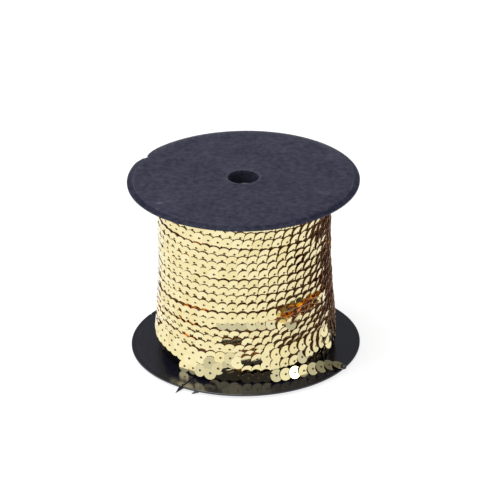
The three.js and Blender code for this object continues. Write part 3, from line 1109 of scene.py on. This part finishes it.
under_count = int((UNDER_TOP - UNDER_FOOT) / UNDER_ROW)
under_knots = (
    (0, UNDER_TOP, -UNDER_DEPTH, FACE_DOWN),
    (360 * under_count, UNDER_FOOT, -UNDER_DEPTH, FACE_DOWN),
)
holes, faces = even_steps(blend_knots(under_knots))
under_frames = sequin_frames(holes, faces)
under_glows = np.clip(dice.normal(UNDER_GLOW, UNDER_GLOW_SPREAD, len(under_frames)), 0, 1)
under_pattern = disc_pattern(SEQUIN_RADIUS, UNDER_SIDES, FILM)
under_sequins = repeat_pattern("under_sequins", under_pattern, under_frames, gold_film, None, under_glows)
dress(under_sequins, "wound_trim")

# %% [markdown]
# The body of the winding
#
# What is left to see deep in the gaps is the dull brown of film that gets no light. A closed
# ring with that colour stands in for the turns down there. Its section is spun round the axis,
# a little wider at the slumped foot, where it is nearly black in the flange's shade.

# %% Inner body
# The outer line of the body's section, from its foot to its top, as radius and height.
BODY_OUTLINE = ((39.6, 2.4), (39.6, 14), (39.0, 28), (38.0, 42), (38.0, 84.4), (37.4, 85.0))
BODY_STEPS = 96
BARREL_GAP = 0.3                 # between the barrel and the body
MERGE_DISTANCE = 1e-7
INNER_DARK = (0.10, 0.045, 0.015)
INNER_LIGHT = (0.34, 0.15, 0.04)
FOOT_SHADE = (0.008, 0.006, 0.005)
SHADE_SPAN = (8, 13)             # the heights between which that shade ends


def spun_piece(name, profile, steps, material):
    """A closed ring from a profile of (radius, height) points in millimetres."""
    build = bmesh.new()
    corners = [build.verts.new((radius * MM, 0, height * MM)) for radius, height in profile]
    edges = [build.edges.new((one, two)) for one, two in zip(corners, corners[1:] + corners[:1])]
    bmesh.ops.spin(build, geom=corners + edges, cent=(0, 0, 0), axis=(0, 0, 1), dvec=(0, 0, 0),
                   angle=2 * math.pi, steps=steps, use_merge=True, use_duplicate=False)
    bmesh.ops.remove_doubles(build, verts=build.verts, dist=MERGE_DISTANCE)
    bmesh.ops.recalc_face_normals(build, faces=build.faces)
    return piece_from(build, name, material)


def make_shadow_gold():
    """Dull brown film, blotchy, and nearly black at the foot."""
    material, tree, shader, coordinates = textured("inner_gold")
    clouds = place_group(tree, soft_clouds, coordinates, Scale=250.0, Contrast=2.0)
    lit = mix_colour(tree, clouds, INNER_DARK, INNER_LIGHT)
    place = tree.nodes.new("ShaderNodeSeparateXYZ")
    tree.links.new(coordinates, place.inputs["Vector"])
    shaded = map_range(tree, place.outputs["Z"], SHADE_SPAN[0] * MM, SHADE_SPAN[1] * MM, 1.0, 0.0)
    tree.links.new(mix_colour(tree, shaded, lit, FOOT_SHADE), shader.inputs["Base Color"])
    shader.inputs["Metallic"].default_value = 0.8
    shader.inputs["Roughness"].default_value = 0.45
    return material


body_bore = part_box("spool_barrel")[1][0] / MM + BARREL_GAP
body_profile = ((body_bore, BODY_OUTLINE[0][1]), *BODY_OUTLINE, (body_bore, BODY_OUTLINE[-1][1]))
winding_body = spun_piece("winding_body", body_profile, BODY_STEPS, make_shadow_gold())
dress(winding_body, "wound_trim")
print("winding_body", len(winding_body.data.polygons), "faces")

# %% [markdown]
# The loose end
#
# The last turn leaves the winding's foot at the front, turns its face up as it crosses the
# flange, and is caught in a slit of the rim. It is a real free length of trim. Its sequins
# droop a little below the line of their route. The third bright one leans back just enough to
# mirror a small lamp into the camera, and the lamp is placed by that.

# %% Loose end
# The route's points in millimetres, then how far each sequin hangs forward and down from its
# point, and how far it leans back from upright.
LOOSE_ROUTE = (
    (0.5, -43.2, 5.6), (5.1, -43.1, 5.6), (9.7, -42.5, 5.6), (14.0, -41.5, 5.6), (18.3, -40.1, 5.5),
    (22.6, -38.6, 5.5), (26.8, -37.0, 5.4), (31.0, -35.1, 5.2), (34.9, -32.8, 4.9), (38.8, -30.8, 4.6),
    (43.0, -28.9, 4.2),
)
LOOSE_DROOP = (
    (-0.3, -0.6), (-0.3, -0.6), (-0.3, -0.5), (-0.4, -0.3), (-0.6, -0.2), (-0.4, -0.2), (-0.1, -0.3),
    (0.1, -0.3), (0.2, -0.3), (0.9, -0.6), (0.5, -1.0),
)
LOOSE_LEANS = (-8, -8, -8, 20, 15, 18, 11, 26, 40, 58, 74)
LOOSE_PALE, LOOSE_DEEP = 0.3, 0.8    # the tints of its first and last sequin

loose_route = np.array(LOOSE_ROUTE) * MM
loose_holes = loose_route + np.insert(np.array(LOOSE_DROOP), 0, 0.0, axis=1) * MM
loose_frames = sequin_frames(loose_holes, np.array(LOOSE_LEANS, dtype=float), jitter=0.0)
loose_tints = np.linspace(LOOSE_PALE, LOOSE_DEEP, len(loose_frames))
# Its backs get the painted shade of a glow of -1.
loose_glows = np.full(len(loose_frames), -1.0)
loose_end = repeat_pattern("loose_end", SEQUIN, loose_frames, gold_film, loose_tints, loose_glows)
loose_stitches = repeat_pattern("loose_stitches", STITCH, loose_frames, tan_thread)
for piece in (loose_end, loose_stitches):
    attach(piece, "root")
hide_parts("trim_end")

# %% [markdown]
# The flash
#
# One sequin of the loose end is burnt out to white in the photograph, because it faces just so
# that a lamp shows in it. A glowing spot on the sequin would stay there from every side, so a
# small lamp is put where that sequin mirrors it into the camera.

# %% Flash lamp
FLASH = 5                        # which sequin of the loose end flashes
FLASH_DISTANCE = 0.9
FLASH_SIDE = 0.11
FLASH_POWER = 0.16

mirror_place = Vector(loose_frames[FLASH, :3, 3])
mirror_normal = Vector(loose_frames[FLASH, :3, 2])
towards_camera = (camera.matrix_world.translation - mirror_place).normalized()
flash_direction = mirror_normal * (2 * mirror_normal.dot(towards_camera)) - towards_camera
softbox("flash_lamp", mirror_place + flash_direction * FLASH_DISTANCE, FLASH_SIDE, FLASH_POWER, mirror_place)
print("flash lamp towards", [round(value, 2) for value in flash_direction])

# %% [markdown]
# The flanges
#
# A flange is a moulded disc. Its section, from the bore out to the rim and back, is spun round
# the axis: a flat inner face, a thin rim, a bevel with a fine step, a flat outer face and a
# chamfered hub hole. The step and the chamfer could be bevelled afterwards, but as points of
# the section they are exactly where the photograph has them.

# %% Flange section
FLANGE_THICK = 2.0
FLANGE_STEPS = 180
SHARP_ANGLE = math.radians(28)
FLANGE_PROFILE = (
    (7.25, 0.0), (20, 0.0), (40, 0.0), (44, 0.0), (48, 0.0), (52, 0.0), (53.75, 0.0), (53.95, 0.12),
    (54.0, 0.3), (54.0, 0.7), (53.9, 0.9), (53.6, 1.0), (51.7, 1.62), (51.5, 1.66), (51.35, 1.6),
    (51.2, 1.62), (51.0, 1.92), (50.8, 2.0), (48, 2.0), (44, 2.0), (40, 2.0), (20, 2.0),
    (8.3, 2.0), (8.1, 2.04), (7.6, 2.04), (7.4, 1.95), (7.25, 1.75),
)
print("flange section of", len(FLANGE_PROFILE), "points")

# %% [markdown]
# Slits and a chip
#
# Four slits hold the trim's ends. They are cut in with a Boolean modifier, because they cross
# the spun section at odd angles. In the upper flange they are hairlines. In the lower one they
# are worn open, with a small diamond at the mouth. A corner has broken out of the upper
# flange's rim at the far left, and the same modifier cuts its outline away.

# %% Cutters
SLIT_ANGLES = (57, 147.5, 236.5, 326.5)
SLIT_DEPTH = 11.5
SLIT_MOUTH_SIDE = 1.4
MOUTH_PAST_RIM = 0.3             # how far outside the rim a diamond has its middle
CUTTER_HEIGHT = 6.0
CUTTER_MIDDLE = 1.0
PAST_RIM = 2.0                   # how far a slit's cutter reaches past the rim
CHIP_FOOT, CHIP_HEIGHT = -3, 8
# The chipped corner of the upper flange, as angle and radius round its edge.
CHIP_OUTLINE = (
    (136.0, 56.5), (136.0, 54.2), (142.4, 53.6), (147.0, 52.7), (150.3, 51.7), (153.0, 50.2), (154.0, 52.4),
    (157.0, 53.4), (160.5, 54.2), (160.0, 56.5),
)


def slit_cutters(name, diamond, width):
    """Four thin blocks for the slits, or four small diamonds that open their mouths."""
    build = bmesh.new()
    for angle in SLIT_ANGLES:
        block = bmesh.ops.create_cube(build, size=1)["verts"]
        if diamond:
            bmesh.ops.rotate(build, verts=block, matrix=Matrix.Rotation(math.radians(45), 3, "Z"))
            scale = (SLIT_MOUTH_SIDE * MM, SLIT_MOUTH_SIDE * MM, CUTTER_HEIGHT * MM)
            place = (FLANGE_RADIUS + MOUTH_PAST_RIM * MM, 0, CUTTER_MIDDLE * MM)
        else:
            scale = (SLIT_DEPTH * MM + PAST_RIM * MM, width * MM, CUTTER_HEIGHT * MM)
            middle = FLANGE_RADIUS - SLIT_DEPTH * MM / 2 + PAST_RIM * MM / 2
            place = (middle, 0, CUTTER_MIDDLE * MM)
        bmesh.ops.scale(build, verts=block, vec=scale)
        bmesh.ops.translate(build, verts=block, vec=place)
        bmesh.ops.rotate(build, verts=block, matrix=Matrix.Rotation(math.radians(angle), 3, "Z"))
    return piece_from(build, name)


def chip_cutter(name):
    """A block with the chip's outline, through the flange."""
    build = bmesh.new()
    corners = []
    for angle, radius in CHIP_OUTLINE:
        turn = math.radians(angle)
        corners.append(build.verts.new((radius * math.cos(turn) * MM, radius * math.sin(turn) * MM,
                                        CHIP_FOOT * MM)))
    build.faces.new(corners)
    raised = bmesh.ops.extrude_face_region(build, geom=list(build.faces))["geom"]
    top = [part for part in raised if isinstance(part, bmesh.types.BMVert)]
    bmesh.ops.translate(build, verts=top, vec=(0, 0, CHIP_HEIGHT * MM))
    bmesh.ops.recalc_face_normals(build, faces=build.faces)
    return piece_from(build, name)


def cut_away(piece, cutters, lift):
    """Cut the cutters' shape out of a piece for good, and remove them."""
    cutters.data.transform(Matrix.Translation((0, 0, lift)))
    cut = piece.modifiers.new("cut", "BOOLEAN")
    cut.operation = "DIFFERENCE"
    cut.solver = "EXACT"
    cut.object = cutters
    evaluated = piece.evaluated_get(bpy.context.evaluated_depsgraph_get())
    mesh = bpy.data.meshes.new_from_object(evaluated)
    piece.modifiers.clear()
    piece.data = mesh
    bpy.data.objects.remove(cutters)


print(len(SLIT_ANGLES), "slits,", SLIT_DEPTH, "mm deep")

# %% [markdown]
# Making the flanges
#
# Both flanges come from the same section, the lower one turned over. Their faces are shaded
# smooth but for the sharp edges, so that the rim looks round and the bevel's step stays crisp.
# The barrel between them hardly shows, so the solid that is there already only gets the plastic.

# %% Flange pieces
UPPER_SLIT = 0.08
LOWER_SLIT = 0.95


def make_flange(name, node, bottom, outer_up, material, slit_width):
    """A flange whose underside is at this height; the lower one has its outer face down."""
    profile = []
    for radius, height in FLANGE_PROFILE:
        profile.append((radius, bottom + (height if outer_up else FLANGE_THICK - height)))
    flange = spun_piece(name, profile, FLANGE_STEPS, material)
    cut_away(flange, slit_cutters("slit_cutters", False, slit_width), bottom * MM)
    if outer_up:
        cut_away(flange, chip_cutter("chip_cutter"), bottom * MM)
    else:
        cut_away(flange, slit_cutters("mouth_cutters", True, slit_width), bottom * MM)
    flange.data.shade_smooth()
    flange.data.set_sharp_from_angle(angle=SHARP_ANGLE)
    dress(flange, node)
    print(name, len(flange.data.polygons), "faces")
    return flange


upper_place = HEIGHT / MM - FLANGE_THICK
upper_flange = make_flange("upper_flange", "flange_top", upper_place, True, black_plastic, UPPER_SLIT)
lower_flange = make_flange("lower_flange", "flange_bottom", 0.0, False, glossy_shaded_plastic, LOWER_SLIT)
for material_slot in bpy.data.objects["spool_barrel"].material_slots:
    material_slot.material = black_plastic

# %% [markdown]
# The gate's scrap
#
# A scrap of plastic is left on the near lip of the hub hole, where the mould was filled and the
# sprue was snapped off. It is no regular shape, so a flattened ball is set half into the lip.

# %% Gate tab in the hub hole
GATE_PLACE = (0.6, -6.7, 87.0)
GATE_SIZE = (2.0, 1.1, 0.3)
build = bmesh.new()
scrap = bmesh.ops.create_icosphere(build, subdivisions=2, radius=1.0)["verts"]
bmesh.ops.scale(build, verts=scrap, vec=Vector(GATE_SIZE) * MM)
bmesh.ops.translate(build, verts=scrap, vec=Vector(GATE_PLACE) * MM)
gate_tab = piece_from(build, "gate_tab", black_plastic)
gate_tab.data.shade_smooth()
dress(gate_tab, "flange_top")
print("gate_tab", len(gate_tab.data.polygons), "faces")

# %% [markdown]
# Slivers at the slits
#
# The slits were broken open when the trim was drawn through them, and the plastic has torn.
# At the front left two thin slivers stick out past the rim, and at the right a lump stands up
# beside the slit that holds the trim's end. A sliver is a cone of six sides, flattened.

# %% Torn slivers and lump
# Where each sliver's root and tip lie, and its width at the root, in millimetres.
SLIVERS = (
    {"root": (-29.2, -43.0, 1.3), "tip": (-32.9, -48.8, 0.5), "width": 3.2},
    {"root": (-22.6, -47.9, 1.0), "tip": (-25.5, -49.9, 0.5), "width": 2.6},
)
SLIVER_SIDES = 6
SLIVER_TIP = 0.06
SLIVER_FLATNESS = 0.6
LUMP_SIZE = (1.7, 1.2, 1.3)
LUMP_PLACE = (45.4, -28.9, 2.5)
LUMP_TURN = math.radians(-50)


def add_sliver(build, root, tip, width):
    """A flattened cone from root to tip."""
    root, tip = Vector(root) * MM, Vector(tip) * MM
    reach = (tip - root).length
    cone = bmesh.ops.create_cone(build, cap_ends=True, segments=SLIVER_SIDES, radius1=width * MM / 2,
                                 radius2=SLIVER_TIP * MM, depth=reach)["verts"]
    bmesh.ops.scale(build, verts=cone, vec=(1.0, SLIVER_FLATNESS, 1.0))
    turn = (tip - root).to_track_quat("Z", "Y").to_matrix()
    bmesh.ops.rotate(build, verts=cone, matrix=turn)
    bmesh.ops.translate(build, verts=cone, vec=(root + tip) / 2)


build = bmesh.new()
for sliver in SLIVERS:
    add_sliver(build, **sliver)
lump = bmesh.ops.create_icosphere(build, subdivisions=2, radius=1.0)["verts"]
bmesh.ops.scale(build, verts=lump, vec=Vector(LUMP_SIZE) * MM)
bmesh.ops.rotate(build, verts=lump, matrix=Matrix.Rotation(LUMP_TURN, 3, "Z"))
bmesh.ops.translate(build, verts=lump, vec=Vector(LUMP_PLACE) * MM)
bmesh.ops.recalc_face_normals(build, faces=build.faces)
slivers = piece_from(build, "slivers", glossy_shaded_plastic)
dress(slivers, "flange_bottom")
print("slivers", len(slivers.data.polygons), "faces")
